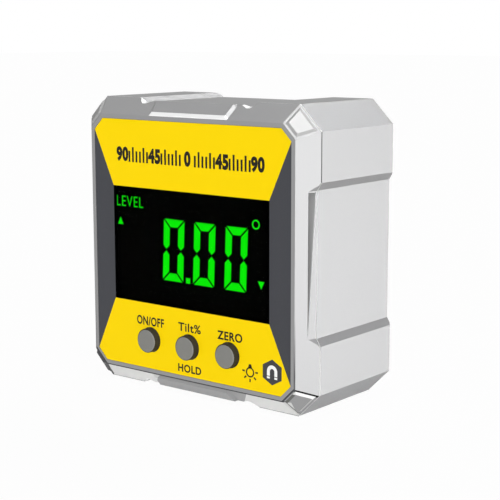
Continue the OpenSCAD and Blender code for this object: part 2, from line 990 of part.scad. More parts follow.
// Battery spring in the upper half of the tray, coned towards the cell
module spring() {
    rings = coil_turns * coil_steps;
    n = coil_sides;
    points = [for (i = [0:rings], j = [0:n - 1]) wire_point(i / rings, 360 * j / n)];
    sides = [for (i = [0:rings - 1], j = [0:n - 1])
             let (k = (j + 1) % n)
             [i * n + j, i * n + k, i * n + n + k, i * n + n + j]];
    start = [[for (j = [n - 1:-1:0]) j]];
    end = [[for (j = [0:n - 1]) rings * n + j]];
    translate([0, at(cell_mid), cell_pitch / 2])
        polyhedron(points, concat(sides, start, end));
}

module spring_upper() {
    color(steel)
        in_upper_half()
            spring();
}

module spring_lower() {
    color(steel)
        in_lower_half()
            spring();
}

front_frame();
rear_housing();
face_panel();
face_print();
display_lens();
lcd_glass();
lcd_segments();
lcd_backlight();
lcd_connector();
circuit_board();
processor_chip();
tilt_sensor();
chip_capacitors();
switch_body(-1);  // switch_power
switch_body(0);  // switch_hold
switch_body(1);  // switch_zero
plunger(-1);  // plunger_power
plunger(0);  // plunger_hold
plunger(1);  // plunger_zero
button(-1);  // button_power
button(0);  // button_hold
button(1);  // button_zero
case_seal();
case_screws();
board_screws();
base_magnet(-1);  // base_magnet_left
base_magnet(1);  // base_magnet_right
battery_door();
door_seal();
battery_upper();
battery_lower();
contact_bridge();
contact_positive();
contact_negative();
spring_upper();
spring_lower();
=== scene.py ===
# %% [markdown]
# A digital angle gauge
# This lesson dresses a small square angle gauge: a silver case with bevelled edges, a yellow face with three
# round buttons, and a black display with lit green figures. The solid pieces come from the CAD frame, and
# stay where they are. Blender adds their finishes, the thin printed signs, the camera, the table and the
# light.

# %% Load the frame
import math

import bpy
import bmesh
from mathutils import Matrix, Vector


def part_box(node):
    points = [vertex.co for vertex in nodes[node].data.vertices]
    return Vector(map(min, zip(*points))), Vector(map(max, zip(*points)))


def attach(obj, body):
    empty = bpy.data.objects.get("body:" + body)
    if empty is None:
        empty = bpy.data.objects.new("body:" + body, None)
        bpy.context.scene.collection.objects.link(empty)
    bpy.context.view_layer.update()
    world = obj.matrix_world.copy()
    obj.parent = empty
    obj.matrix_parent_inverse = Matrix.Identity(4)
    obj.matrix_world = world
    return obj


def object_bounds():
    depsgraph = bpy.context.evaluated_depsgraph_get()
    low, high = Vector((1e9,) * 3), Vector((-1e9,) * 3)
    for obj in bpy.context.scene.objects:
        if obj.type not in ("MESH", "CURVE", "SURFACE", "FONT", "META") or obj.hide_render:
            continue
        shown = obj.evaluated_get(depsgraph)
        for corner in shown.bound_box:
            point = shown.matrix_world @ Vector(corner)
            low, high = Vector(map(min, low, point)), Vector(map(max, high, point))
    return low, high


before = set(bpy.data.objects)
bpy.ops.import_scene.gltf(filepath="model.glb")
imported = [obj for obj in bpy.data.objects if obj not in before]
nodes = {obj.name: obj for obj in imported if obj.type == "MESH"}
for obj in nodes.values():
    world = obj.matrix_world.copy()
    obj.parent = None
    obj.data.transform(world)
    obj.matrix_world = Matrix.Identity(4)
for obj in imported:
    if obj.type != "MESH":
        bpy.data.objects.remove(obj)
cad_low, cad_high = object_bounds()
MM = 0.001
MIDDLE_Z = (cad_low.z + cad_high.z) / 2
print("CAD box, mm:", [round(side / MM, 2) for side in cad_high - cad_low], "nodes:", len(nodes))

# %% [markdown]
# Camera
# A long lens keeps the sides of a small box nearly parallel, as in a catalogue picture. The camera could be
# placed by eye, but a place worked out from the corners of the case is repeatable: it stands to the right of
# the front and a little above, and the lens is given for a square picture on a 36 mm sensor.

# %% Camera
EYE = Vector((171.10, -205.69, 73.81)) * MM
AIM = Vector((15.83, -13.21, 32.03)) * MM
ROLL = math.radians(-0.09)
SENSOR = 36.0
LENS = 94.35
NEAREST = 10 * MM

camera_data = bpy.data.cameras.new("camera")
camera_data.sensor_width = SENSOR
camera_data.lens = LENS
camera_data.clip_start = NEAREST
camera = bpy.data.objects.new("camera", camera_data)
bpy.context.scene.collection.objects.link(camera)
turn = (EYE - AIM).to_track_quat("Z", "Y").to_matrix() @ Matrix.Rotation(ROLL, 3, "Z")
camera.matrix_world = Matrix.Translation(EYE) @ turn.to_4x4()
bpy.context.scene.camera = camera
print("camera distance, mm:", round((EYE - AIM).length / MM, 1))

# %% [markdown]
# A small language for finishes
# A finish is a tree of shader nodes. Wiring each node by hand is slow to read, so two small classes help. A
# Field wraps one output socket, and Python's operators on it add Math nodes, so a mask or a gloss is written
# as a plain sum or product.

# %% Fields
class Field:
    """One output socket of a shader tree, used like a number."""

    def __init__(self, tree, socket):
        self.tree = tree
        self.socket = socket

    def other(self, name):
        """Another output of the same node."""
        return Field(self.tree, self.socket.node.outputs[name])

    def math(self, operation, first, second):
        """A Math node on two fields or numbers."""
        return self.tree.add("ShaderNodeMath", {"operation": operation}, {0: first, 1: second})

    def __add__(self, other):
        return self.math("ADD", self, other)

    def __sub__(self, other):
        return self.math("SUBTRACT", self, other)

    def __rsub__(self, other):
        return self.math("SUBTRACT", other, self)

    def __mul__(self, other):
        return self.math("MULTIPLY", self, other)

    def __gt__(self, other):
        return self.math("GREATER_THAN", self, other)

    def __lt__(self, other):
        return self.math("LESS_THAN", self, other)

    def __abs__(self):
        return self.math("ABSOLUTE", self, 0.0)

    def clamp(self):
        """The same field, kept from 0 to 1."""
        return self.tree.add("ShaderNodeClamp", {}, {"Value": self})

    __radd__ = __add__
    __rmul__ = __mul__


# %% [markdown]
# Trees
# A Tree belongs to one material, or to the world, and adds any other node: first its settings, then the
# values or links of its sockets. It also knows what most finishes need: where a point is on the gauge, a
# noise, a mix of two colours and a bump.

# %% Trees
class Tree:
    """The shader tree of a material or of the world."""

    def __init__(self, owner):
        owner.use_nodes = True
        self.name = owner.name
        self.nodes = owner.node_tree.nodes
        self.links = owner.node_tree.links

    def feed(self, socket, value):
        """Links a field to an input socket, or sets a plain value there."""
        if isinstance(value, Field):
            self.links.new(value.socket, socket)
        else:
            socket.default_value = value

    def add(self, kind, settings, sockets, out=0):
        """A new node of this kind, as the field of one of its outputs."""
        node = self.nodes.new(kind)
        for name, value in settings.items():
            setattr(node, name, value)
        for name, value in sockets.items():
            self.feed(node.inputs[name], value)
        return Field(self, node.outputs[out]) if node.outputs else node

    def place(self):
        """Where a point of the surface is on the gauge, in metres."""
        return self.add("ShaderNodeTexCoord", {}, {}, "Object")

    def spot(self):
        """The same in millimetres, as three fields: right, back and up from the middle of the gauge."""
        in_mm = self.add("ShaderNodeVectorMath", {"operation": "SCALE"}, {0: self.place(), "Scale": 1 / MM})
        right = self.add("ShaderNodeSeparateXYZ", {}, {0: in_mm})
        return right, right.other("Y"), right.other("Z") - MIDDLE_Z / MM

    def noise(self, per_mm, detail=2.0):
        """Soft random field with about this many blobs in a millimetre, from 0 to 1."""
        sockets = {"Vector": self.place(), "Scale": per_mm / MM, "Detail": detail, "Roughness": 0.5}
        return self.add("ShaderNodeTexNoise", {}, sockets, "Fac")

    def tone(self, amount, first, second):
        """Mixes two colours."""
        sockets = {"Factor": amount, "A": first, "B": second}
        return self.add("ShaderNodeMix", {"data_type": "RGBA"}, sockets, 2)

    def bump(self, height, depth_mm, strength):
        """A normal that follows a height field."""
        sockets = {"Height": height, "Distance": depth_mm * MM, "Strength": strength}
        return self.add("ShaderNodeBump", {}, sockets)


# %% [markdown]
# Colours and finishes
# Colours are easiest to read as a picture shows them, but shaders count light, so each colour goes through
# the sRGB curve first. A finish starts from one Principled shader: what is the same all over is set on its
# sockets at once, and what changes over the surface is linked at the end.

# %% Colours and finishes
def srgb(red, green, blue):
    """A colour given as a picture shows it, 0 to 255, turned into light by the sRGB curve."""
    def light(value):
        value /= 255
        return value / 12.92 if value <= 0.04045 else ((value + 0.055) / 1.055) ** 2.4
    return (light(red), light(green), light(blue), 1.0)


def finish(name, **sockets):
    """A new material with one Principled shader, and the tree to grow its details in."""
    material = bpy.data.materials.new(name)
    tree = Tree(material)
    shader = tree.nodes["Principled BSDF"]
    for socket, value in sockets.items():
        tree.feed(shader.inputs[socket.replace("_", " ")], value)
    return material, tree, shader


def detail(tree, shader, **fields):
    """Links the fields of a finish to its shader, and says how many nodes it has."""
    for socket, field in fields.items():
        tree.feed(shader.inputs[socket.replace("_", " ")], field)
    print(tree.name, "nodes:", len(tree.nodes))


# %% [markdown]
# Silver paint
# The case is moulded in two shells and sprayed a satin silver: fine metal flakes in a clear binder. Each
# facet of such paint mirrors one part of the studio, blurred, so it shades more like metal than like plastic.
# A fine noise and a slow one shift the colour by a few parts in a hundred. Later the slow one also shifts the
# gloss, and the fine one gives the skin its low bump.

# %% Silver paint
METAL = 0.75
FLAKES_PER_MM = 6.0
CLOUDS_PER_MM = 0.08

silver, tree, shader = finish("silver_paint", Specular_IOR_Level=0.1, Specular_Tint=(0.25, 0.25, 0.25, 1.0))
flakes = tree.noise(FLAKES_PER_MM, 3.0)
cloud = tree.noise(CLOUDS_PER_MM)
paint = tree.tone((flakes * 0.7 + cloud * 0.3).clamp(), srgb(149, 149, 150), srgb(158, 158, 158))
print("silver nodes for the plain paint:", len(tree.nodes))

# %% [markdown]
# Where a point of the case is
# Some places of the paint differ. They could be split off as new meshes, but masks in the material keep the
# CAD mesh whole, so they are picked by where they are on the gauge. Fields say where a point is: how far out
# to the side and up or down from the middle, how deep behind the bezel, and how high above the bevel across
# the nearest corner. Such a bevel leans halfway back and halfway to the corner, which gives its three
# weights. A comparison of a field with a size is a mask, 1 inside and 0 outside, and the product of masks is
# the place where all of them hold. The sizes are those of the case, in millimetres.

# %% Where a point of the case is
BEZEL_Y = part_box("front_frame")[0].y / MM
SOLE = MIDDLE_Z / MM
CORNER_BEVEL = 25.146

right, back, up = tree.spot()
wide, tall, depth = abs(right), abs(up), back - BEZEL_Y
lift = (wide + tall) * 0.5 - depth * math.sqrt(0.5) - CORNER_BEVEL
upper, lower = up > 0.0, up < 0.0
print("bezel at y, mm:", round(BEZEL_Y, 2))

# %% [markdown]
# Painted light and shade on the bevels
# Some edges are painted brighter, as painted highlights: the lower bevels of the feet, the front of the upper
# tab and the notches beside the tabs. The walls of the side slots and the gap between the two shells are
# painted light where they would lie in shade. The bright part of the feet leans to the right towards the
# bezel.
# The lower slopes of the hand recesses are painted darker, as painted shade. A mask ends just inside its
# facet, so that the next facet stays clean.

# %% Painted light and shade on the bevels
BEZEL_EDGE = 26.6
INSIDE = 0.05
RECESS_FLOOR, RECESS_EDGE = 14.1, 15.6
FOOT_FROM, FOOT_TO = 11.5, 25.4
TAB_EDGE, TAB_FRONT, TAB_STEP = 10.2, 0.3, 27.42
NOTCH_EDGE = 11.75
SLOT_FROM, SLOT_TO = 1.78, 3.2
LEAD_START, LEAD_TILT = 27.6, 0.4245
SEAM_FROM, SEAM_TO, SEAM_LIP = 3.4, 3.72, 0.07

front_shell = depth < SEAM_FROM
bevel_reach = depth + (BEZEL_EDGE - INSIDE)
# painted shade: the lower slopes of the hand recesses are painted darker
painted_shade_slope = (wide > BEZEL_EDGE) * (wide < bevel_reach) * (up < -RECESS_FLOOR) * (up > -RECESS_EDGE)
# painted highlight on the lower bevels of the feet
painted_highlight_foot = (up < -BEZEL_EDGE) * front_shell * (abs(right - (up + SOLE)) > FOOT_FROM) * (wide < FOOT_TO)
# painted highlight on the front of the upper tab
painted_highlight_strip = (up > BEZEL_EDGE) * (up < TAB_STEP) * (depth < TAB_FRONT) * (wide < TAB_EDGE)
# painted light on the walls of the side slots, which lie in shade
slot = (wide < depth * LEAD_TILT + LEAD_START) * (depth > SLOT_FROM) * (depth < SLOT_TO)
slot = slot * (tall < RECESS_FLOOR)
# painted highlight in the notches beside the tabs
painted_highlight_notch = (wide > NOTCH_EDGE) * (wide < RECESS_EDGE) * (tall > BEZEL_EDGE) * (tall < bevel_reach) * front_shell
# the gap between the shells, painted light where it lies in shade
gap = (depth > SEAM_FROM + SEAM_LIP) * (depth < SEAM_TO)
print("silver nodes with the rubbed places:", len(tree.nodes))

# %% [markdown]
# Painted shade on the lower edges
# A thin dark line of painted shade runs along the lower edge of the bezel and along the soles of the feet. It
# turns the lower corners and fades on its way up the sides. The lower left corner is painted dark, as painted
# shade, and the gap between the shells is painted dark too, as painted shade in the gap, where it stands open
# beside the upper blocks.

# %% Painted shade on the lower edges
SHADE_LINE_HALF = 0.13
FADE_END, FADE_GROWTH = 10.0, 0.09
SHADE_CORNER_START = -0.3
BLOCK_END = 25.1

# painted shade: thin dark lines along the lower edges, fading up the sides
low_line = (up < SHADE_LINE_HALF - BEZEL_EDGE) * (up > -SHADE_LINE_HALF - BEZEL_EDGE) * (depth < TAB_FRONT)
side_line = (wide > BEZEL_EDGE - SHADE_LINE_HALF) * (wide < BEZEL_EDGE + SHADE_LINE_HALF) * (depth < TAB_FRONT)
corner_line = (lift > -SHADE_LINE_HALF) * (lift < SHADE_LINE_HALF) * (depth < SHADE_LINE_HALF)
fade = ((-FADE_END - up) * FADE_GROWTH).clamp()
sole_line = (up < SHADE_LINE_HALF - SOLE) * front_shell * (wide > FOOT_FROM)
painted_edge_shade = low_line + (side_line + corner_line) * fade + sole_line
# painted shade on the lower left corner
painted_shade_corner = (lift > SHADE_CORNER_START) * (right < 0.0) * lower
# painted shade in the open gap between the shells beside the upper blocks
painted_shade_gap = gap * (up > RECESS_EDGE) * (up < BLOCK_END)
print("silver nodes with dirt and painted_corner_shade:", len(tree.nodes))

# %% [markdown]
# Corner pads
# Each corner has a raised pad with a sloping rim, which is dull and not metallic. The height above the corner
# bevel tells the pad, the rim and the bare bevel apart. The upper pads are painted a little lighter, as a
# painted highlight. On a lower corner the upper side of the rim is a painted highlight under a black line of
# painted shadow in the narrow gap, and its front and lower sides are painted darker, as painted shade.

# %% Corner pads
PAD_BASE, PAD_TOP = 0.02, 0.36
PAD_FRONT = 0.9
EDGE_START, EDGE_TILT = 23.69, 0.4142
SHELF_GAP, SHELF_END = 0.4, 1.0


def from_edge(distance):
    """How far a point is from the edge where the corner bevel meets the bevel of a side."""
    return distance - depth * EDGE_TILT - EDGE_START


# painted highlight: the upper pads are painted a little lighter
pad = (lift > PAD_TOP) * upper
rim = (lift > PAD_BASE) * (lift < PAD_TOP)
bare = (lift > -PAD_BASE) * (lift < PAD_BASE)
below_edge = from_edge(tall)
# lower corners: painted highlight on the upper rim, painted shadow in the gap, painted shade on front and
# lower sides
painted_highlight_shelf = rim * (below_edge < SHELF_END) * lower
painted_shadow_gap = bare * (below_edge > 0.0) * (below_edge < SHELF_GAP) * lower
painted_shade_rim = rim * ((depth < PAD_FRONT) + (from_edge(wide) < SHELF_END)).clamp() * lower
print("silver nodes with the corner pads:", len(tree.nodes))

# %% [markdown]
# All the places in one finish
# The places, most of them painted light and shade, are laid over each other in turn, as with masking tape
# and a spray can, so the order of the list counts. One long list is easier to change than a chain of nodes
# that is wired by hand.

# %% Paint the places
# painted shade, painted highlights and painted shadow on the silver; the rim is the pads' own duller grey
PAINTED = [
    (painted_shade_slope, (140, 140, 141)),
    (painted_highlight_foot, (206, 206, 205)),
    (slot, (205, 205, 205)),
    ((painted_highlight_strip + painted_highlight_notch + gap).clamp(), (240, 240, 240)),
    (pad, (162, 162, 162)),
    (rim, (168, 168, 168)),
    (painted_shade_rim, (108, 109, 106)),
    (painted_highlight_shelf, (225, 225, 225)),
    (painted_shadow_gap, (20, 20, 20)),
    (painted_edge_shade.clamp(), (80, 80, 82)),
    (painted_shade_corner, (84, 84, 86)),
    (painted_shade_gap, (50, 50, 50)),
]
for place, colour in PAINTED:
    paint = tree.tone(place, paint, srgb(*colour))
detail(tree, shader,
       Base_Color=paint,
       Metallic=METAL - rim * METAL,
       Roughness=0.44 + cloud * 0.04,
       Normal=tree.bump(flakes, 0.01, 0.15))

# %% [markdown]
# Face
# The face is a dark grey plastic plate with two yellow fields printed on it. Both are matte, with a very fine
# grain, and the print is a little smoother than the plate. The wall of the window in it is blackened, so that
# no grey shows beside the display.

# %% Face finishes
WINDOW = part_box("display_lens")[1]
WINDOW_X = WINDOW.x / MM
WINDOW_Z = (WINDOW.z - MIDDLE_Z) / MM
WALL = 0.1
WALL_BLACK = srgb(3, 3, 3)

panel_grey, tree, shader = finish("panel_grey", Specular_IOR_Level=0.1)
grain = tree.noise(9.0)
right, _, up = tree.spot()
window_wall = (abs(right) < WINDOW_X + WALL) * (abs(up) < WINDOW_Z + WALL)
grey = tree.tone(grain, srgb(66, 67, 71), srgb(76, 77, 82))
detail(tree, shader,
       Base_Color=tree.tone(window_wall, grey, WALL_BLACK),
       Roughness=0.5 + grain * 0.15,
       Normal=tree.bump(grain, 0.006, 0.2))

print_yellow, tree, shader = finish("print_yellow", Specular_IOR_Level=0.08)
grain = tree.noise(7.0)
cloud = tree.noise(0.12)
detail(tree, shader,
       Base_Color=tree.tone(grain * 0.5 + cloud * 0.5, srgb(255, 217, 3), srgb(255, 220, 8)),
       Roughness=0.5 + grain * 0.1,
       Normal=tree.bump(grain, 0.004, 0.15))

# %% [markdown]
# Inks
# The signs on the face are printed in a dark ink, and the badge in grey and white. An ink film has no relief
# that can be seen, so a grain in its colour and gloss is enough.

# %% Inks
def ink(name, dark, bright, rough):
    """A printing ink of two close colours."""
    material, tree, shader = finish(name, Specular_IOR_Level=0.2)
    grain = tree.noise(8.0)
    detail(tree, shader,
           Base_Color=tree.tone(grain, srgb(*dark), srgb(*bright)),
           Roughness=rough + grain * 0.1)
    return material


print_dark = ink("print_dark", (16, 13, 7), (26, 21, 12), 0.55)
print_white = ink("print_white", (244, 244, 242), (255, 255, 255), 0.5)
badge_grey = ink("badge_grey", (58, 58, 60), (70, 70, 72), 0.5)

# %% [markdown]
# Display
# The display is a black cell behind a clear window, and its figures are lit from behind. A window that
# mirrors the white room would turn the black cell grey, so its mirror tint is low, as on coated glass, and
# its edges are painted black. The lit shapes glow with a plain colour, and a slow noise keeps them from being
# quite even.

# %% Display finishes
clear_lens, tree, shader = finish("clear_lens", Transmission_Weight=1.0, IOR=1.04,
                                  Specular_Tint=(0.05, 0.05, 0.05, 1.0))
right, _, up = tree.spot()
side =(abs(right) > WINDOW_X - WALL) + (abs(up) > WINDOW_Z - WALL)
black = tree.add("ShaderNodeBsdfDiffuse", {}, {"Color": WALL_BLACK})
glass = Field(tree, shader.outputs[0])
blend = tree.add("ShaderNodeMixShader", {}, {0: side.clamp(), 1: glass, 2: black})
tree.feed(tree.nodes["Material Output"].inputs["Surface"], blend)
smear = tree.noise(0.15)
detail(tree, shader, Base_Color=(1.0, 1.0, 1.0, 1.0), Roughness=smear * 0.02)

cell_black, tree, shader = finish("cell_black", Specular_IOR_Level=0.0)
grain = tree.noise(4.0)
detail(tree, shader,
       Base_Color=tree.tone(grain, srgb(1, 1, 1), srgb(3, 3, 3)),
       Roughness=0.3 + grain * 0.1)

lit_green, tree, shader = finish("lit_green", Specular_IOR_Level=0.0, Emission_Strength=1.0)
glow = tree.noise(0.3)
detail(tree, shader,
       Base_Color=(0.0, 0.01, 0.0, 1.0),
       Roughness=0.6,
       Emission_Color=tree.tone(glow, srgb(8, 222, 6), srgb(14, 236, 12)))

# %% [markdown]
# Buttons
# The buttons are moulded in soft dark rubber, and their tops are a lighter grey than the sides. Rubber is
# dull and a little blotchy, so two noises mix its colour. The light spot is round and sits a little to the
# right on each top, so that a thin dark edge of painted shade stays on its left side. Generated coordinates
# run from 0 to 1 over a button's own box, so one finish finds the middle of all three buttons, and the depth
# on the gauge keeps the spot off the sides.

# %% Button rubber
button_low, button_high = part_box("button_power")
BUTTON_TOP = button_low.y / MM
BUTTON_WIDTH = (button_high.x - button_low.x) / MM
BUTTON_BEVEL = 0.2
SPOT_RADIUS = 2.32
SPOT_SHIFT = 0.1
BOX_MIDDLE = 0.5

button_rubber, tree, shader = finish("button_rubber", Specular_IOR_Level=0.1)
grain = tree.noise(7.0, 3.0)
cloud = tree.noise(0.6)
_, back, _ = tree.spot()
own_box = tree.add("ShaderNodeTexCoord", {}, {}, "Generated")
own_x = tree.add("ShaderNodeSeparateXYZ", {}, {0: own_box})
# the spot is shifted right, so the left edge of each top keeps a thin line of painted shade
from_x = own_x - (BOX_MIDDLE + SPOT_SHIFT / BUTTON_WIDTH)
from_z = own_x.other("Z") - BOX_MIDDLE
in_spot = from_x * from_x + from_z * from_z < (SPOT_RADIUS / BUTTON_WIDTH) ** 2
# the lighter grey of the button tops
retoned = tree.tone(grain * 0.5 + cloud * 0.5, srgb(126, 126, 123), srgb(138, 138, 135))
dark = tree.tone(grain, srgb(44, 42, 37), srgb(54, 52, 46))
detail(tree, shader,
       Base_Color=tree.tone((back < BUTTON_TOP + BUTTON_BEVEL) * in_spot, dark, retoned),
       Roughness=0.6 + grain * 0.15,
       Normal=tree.bump(grain, 0.006, 0.2))

# %% [markdown]
# Pieces inside and behind
# With the battery door off, the cells, springs, contacts and seals show. They get plain workshop finishes: a
# smooth sleeve, plated metal, dull rubber, green board and black chips. One function makes them all, because
# they differ only in colour, grain and gloss.

# %% Inner finishes
def plain_finish(name, dark, bright, per_mm, rough, metal=0.0):
    """A finish of two close colours in a fine grain."""
    material, tree, shader = finish(name, Metallic=metal)
    grain = tree.noise(per_mm, 3.0)
    detail(tree, shader,
           Base_Color=tree.tone(grain, srgb(*dark), srgb(*bright)),
           Roughness=rough + grain * 0.12,
           Normal=tree.bump(grain, 0.004, 0.2))
    return material


seal_rubber = plain_finish("seal_rubber", (38, 38, 40), (48, 48, 50), 6.0, 0.6)
guide_milk = plain_finish("guide_milk", (232, 234, 226), (242, 243, 236), 2.0, 0.4)
board_mask = plain_finish("board_mask", (28, 92, 56), (36, 104, 64), 5.0, 0.35)
chip_black = plain_finish("chip_black", (30, 30, 32), (40, 40, 42), 8.0, 0.5)
cap_tan = plain_finish("cap_tan", (178, 150, 108), (192, 164, 120), 6.0, 0.5)
plunger_white = plain_finish("plunger_white", (212, 212, 204), (222, 222, 214), 5.0, 0.45)
screw_zinc = plain_finish("screw_zinc", (176, 176, 178), (198, 198, 200), 5.0, 0.3, 0.9)
magnet_nickel = plain_finish("magnet_nickel", (186, 184, 178), (204, 202, 196), 3.0, 0.25, 0.9)
cell_sleeve = plain_finish("cell_sleeve", (34, 62, 118), (42, 72, 132), 0.5, 0.25)
contact_nickel = plain_finish("contact_nickel", (190, 190, 186), (210, 210, 206), 4.0, 0.28, 0.9)

# %% [markdown]
# Finishes on the CAD pieces
# Each CAD piece keeps its mesh and only gets its material. A list of names for each finish is easier to check
# than one line for each piece. The buttons are set to cast no shadow, because a catalogue picture is lit so
# evenly that the yellow around them stays clean.

# %% Assign the finishes
BUTTONS = "button_power button_hold button_zero"
WORN_BY = [
    (silver, "front_frame rear_housing battery_door"),
    (panel_grey, "face_panel"),
    (print_yellow, "face_print"),
    (clear_lens, "display_lens"),
    (cell_black, "lcd_glass"),
    (lit_green, "lcd_segments"),
    (guide_milk, "lcd_backlight"),
    (seal_rubber, "lcd_connector case_seal door_seal"),
    (board_mask, "circuit_board"),
    (chip_black, "processor_chip tilt_sensor switch_power switch_hold switch_zero"),
    (cap_tan, "chip_capacitors"),
    (plunger_white, "plunger_power plunger_hold plunger_zero"),
    (button_rubber, BUTTONS),
    (screw_zinc, "case_screws board_screws"),
    (magnet_nickel, "base_magnet_left base_magnet_right"),
    (cell_sleeve, "battery_upper battery_lower"),
    (contact_nickel, "contact_bridge contact_positive contact_negative spring_upper spring_lower"),
]
dressed = 0
for material, names in WORN_BY:
    for name in names.split():
        slots = nodes[name].data.materials
        slots.clear()
        slots.append(material)
        dressed += 1
for name in BUTTONS.split():
    nodes[name].visible_shadow = False
print("dressed CAD nodes:", dressed, "of", len(nodes))

# %% [markdown]
# Printed signs
# The signs on the face are ink, two hundredths of a millimetre thick. They could be a picture on the yellow
# field, but thin solid shapes stay sharp from any distance. A sign is a set of outlines in millimetres, right
# and up from the middle of the face, raised a little from the surface that carries it.

# %% Sign solid
INK = 0.02 * MM
WELD = 0.001 * MM
FACE_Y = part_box("face_print")[0].y


def sign(name, outlines, y, material):
    """A thin solid made from flat outlines, with its back at the depth y, riding on the case."""
    shape = bmesh.new()
    for outline in outlines:
        face = shape.faces.new([shape.verts.new((x * MM, y, MIDDLE_Z + z * MM)) for x, z in outline])
        face.normal_update()
        if face.normal.y > 0:
            face.normal_flip()
    bmesh.ops.remove_doubles(shape, verts=shape.verts, dist=WELD)
    raised = bmesh.ops.extrude_face_region(shape, geom=list(shape.faces))["geom"]
    corners = [part for part in raised if isinstance(part, bmesh.types.BMVert)]
    bmesh.ops.translate(shape, vec=(0, -INK, 0), verts=corners)
    bmesh.ops.recalc_face_normals(shape, faces=shape.faces)
    mesh = bpy.data.meshes.new(name)
    shape.to_mesh(mesh)
    shape.free()
    mesh.materials.append(material)
    piece = bpy.data.objects.new(name, mesh)
    bpy.context.scene.collection.objects.link(piece)
    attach(piece, "case")
    print(name, "faces:", len(mesh.polygons))
    return piece


# %% [markdown]
# Letters and strokes
# Letters could be drawn stroke by stroke, but Blender's own are quicker and more even: a text object is made,
# turned into triangles, fitted to a box on the face and deleted again. The other signs are made of straight
# strokes, boxes and pieces of round bands.

# %% Outlines for signs
LETTER_GAP = 1.1


def word_outlines(text, left, right, low, high, bold):
    """Triangles of a word, fitted to a box on the face; bold widens each stroke."""
    curve = bpy.data.curves.new("letters", "FONT")
    curve.body = text
    curve.offset = bold
    curve.space_character = LETTER_GAP
    holder = bpy.data.objects.new("letters", curve)
    bpy.context.scene.collection.objects.link(holder)
    bpy.context.view_layer.update()
    mesh = bpy.data.meshes.new_from_object(holder.evaluated_get(bpy.context.evaluated_depsgraph_get()))
    xs = [vertex.co.x for vertex in mesh.vertices]
    ys = [vertex.co.y for vertex in mesh.vertices]
    x_start, y_start = min(xs), min(ys)
    wide = (right - left) / (max(xs) - x_start)
    tall = (high - low) / (max(ys) - y_start)
    fitted = [(left + (x - x_start) * wide, low + (y - y_start) * tall) for x, y in zip(xs, ys)]
    outlines = [[fitted[corner] for corner in triangle.vertices] for triangle in mesh.polygons]
    bpy.data.objects.remove(holder)
    bpy.data.curves.remove(curve)
    bpy.data.meshes.remove(mesh)
    return outlines


def arc_band(x, z, outer, inner, start, end, steps=24):
    """Short four-sided pieces of a round band, from one angle to another, in degrees."""
    angles = [math.radians(start + (end - start) * step / steps) for step in range(steps + 1)]
    def at(radius, angle):
        return (x + radius * math.cos(angle), z + radius * math.sin(angle))
    return [[at(outer, first), at(outer, last), at(inner, last), at(inner, first)]
            for first, last in zip(angles, angles[1:])]


def bar(x0, z0, x1, z1, width):
    """A straight stroke from one point to another."""
    along = Vector((x1 - x0, z1 - z0)).normalized() * width / 2
    dx, dz = -along.y, along.x
    return [(x0 + dx, z0 + dz), (x1 + dx, z1 + dz), (x1 - dx, z1 - dz), (x0 - dx, z0 - dz)]


def box_outline(left, right, low, high):
    """An upright rectangle."""
    return [(left, low), (right, low), (right, high), (left, high)]


# %% [markdown]
# Words at the buttons
# Each button has the name of its job beside it. A word is fitted to the box where it stands: left, right, low
# and high. The percent sign would clog in bold strokes, so its word is a little lighter than the others.

# %% Button words
BOLD = 0.028
LESS_BOLD = 0.02
WORDS = [
    ("sign_power", "ON/OFF", (-14.35, -6.8, -16.6, -14.7), BOLD),
    ("sign_tilt", "Tilt%", (-2.85, 3.15, -16.45, -14.65), LESS_BOLD),
    ("sign_zero", "ZERO", (7.5, 13.85, -16.65, -14.85), BOLD),
    ("sign_hold", "HOLD", (-3.0, 3.2, -24.9, -23.25), BOLD),
]
for name, text, box, bold in WORDS:
    sign(name, word_outlines(text, *box, bold), FACE_Y, print_dark)

# %% [markdown]
# Scale on the upper field
# Above the display stands a printed scale of degrees, in one bold line: a number for each forty-five degrees,
# and strokes between two numbers. A loop draws it from the range and the spacing, and leaves out the strokes
# next to a number.

# %% Degree scale
SCALE_RANGE, NUMBER_STEP, LONG_STEP, STROKE_STEP = 90, 45, 15, 5
SCALE_HALF = 17.75
SCALE_LOW, SCALE_HIGH = 17.0, 20.05
STROKE_HALF = 0.24
SHORTER = 0.8
NUMBER_HALF, ZERO_HALF = 1.65, 0.85

scale = []
for degrees in range(-SCALE_RANGE, SCALE_RANGE + 1, STROKE_STEP):
    x = SCALE_HALF * degrees / SCALE_RANGE
    beside = abs(degrees) % NUMBER_STEP
    if beside == 0:
        half = NUMBER_HALF if degrees else ZERO_HALF
        scale += word_outlines(str(abs(degrees)), x - half, x + half, SCALE_LOW, SCALE_HIGH, 2 * BOLD)
    elif STROKE_STEP < beside < NUMBER_STEP - STROKE_STEP:
        short = SHORTER if beside % LONG_STEP else 0.0
        scale.append(box_outline(x - STROKE_HALF, x + STROKE_HALF, SCALE_LOW, SCALE_HIGH - short))
sign("sign_scale", scale, FACE_Y, print_dark)

# %% [markdown]
# Lamp
# A small lamp stands for the display's light: a round glass, a cap on top of it, and rays below and beside.
# The glass is a band that goes once round from the cap, and each ray is a short stroke away from its middle.

# %% Lamp sign
LAMP_X, LAMP_Z = 15.8, -22.1
GLASS_OUTER, GLASS_INNER = 1.04, 0.74
CAP_LOW, CAP_HIGH = 0.86, 1.6
CAP_FOOT, CAP_TOP = 0.5, 0.26
RAY_FROM, RAY_TO, RAY_WIDTH = 1.3, 1.95, 0.32
RAY_ANGLES = (175, 222, 270, 318, 365)

